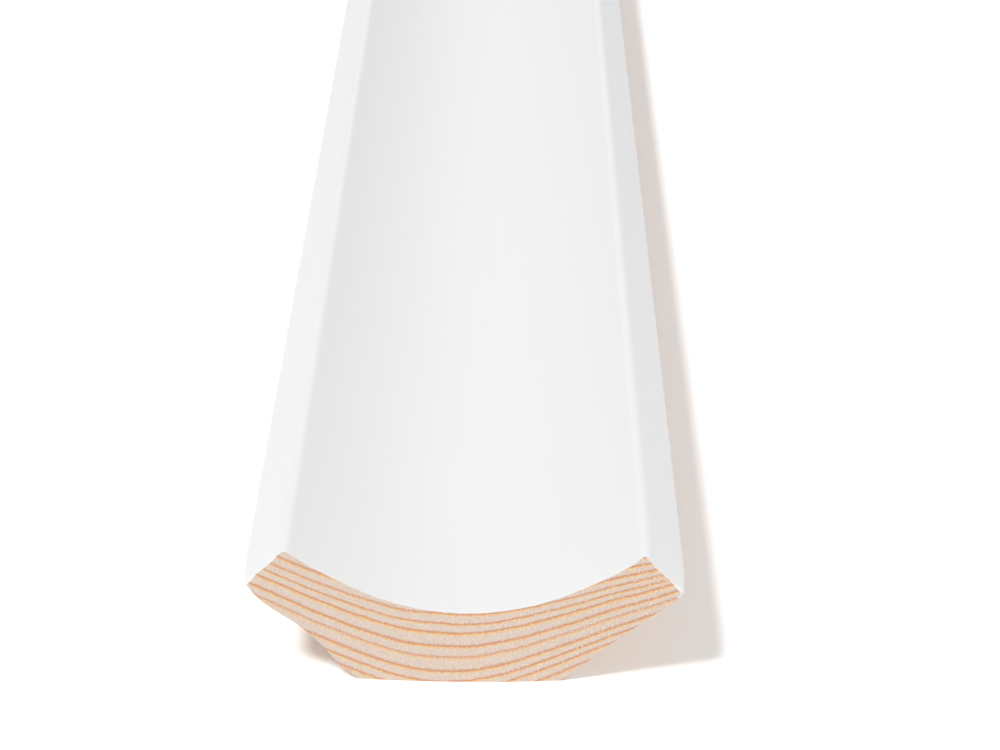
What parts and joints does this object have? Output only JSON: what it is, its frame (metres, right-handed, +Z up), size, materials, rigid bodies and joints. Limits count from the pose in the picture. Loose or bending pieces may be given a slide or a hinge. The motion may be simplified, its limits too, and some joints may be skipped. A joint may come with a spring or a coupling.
{
  "type": "cove moulding",
  "caption": "Short length of primed pine cove moulding: a white hollow face between square rims, with bare back bevels that seat in the corner of wall and ceiling.",
  "frame": {"origin": "on the flat back, half way along the length and half way across", "axes": "+Z up from the flat back through the open cove, +Y along the length, +X across the section"},
  "size_m": [0.043, 0.2, 0.015],
  "materials": {
    "primed_pine": "white satin primer on the cove, rims and outer arrises; bare pine on the sawn ends, back bevels and flat back"
  },
  "bodies": {
    "root": {"cove_moulding": "primed_pine"}
  },
  "joints": []
}
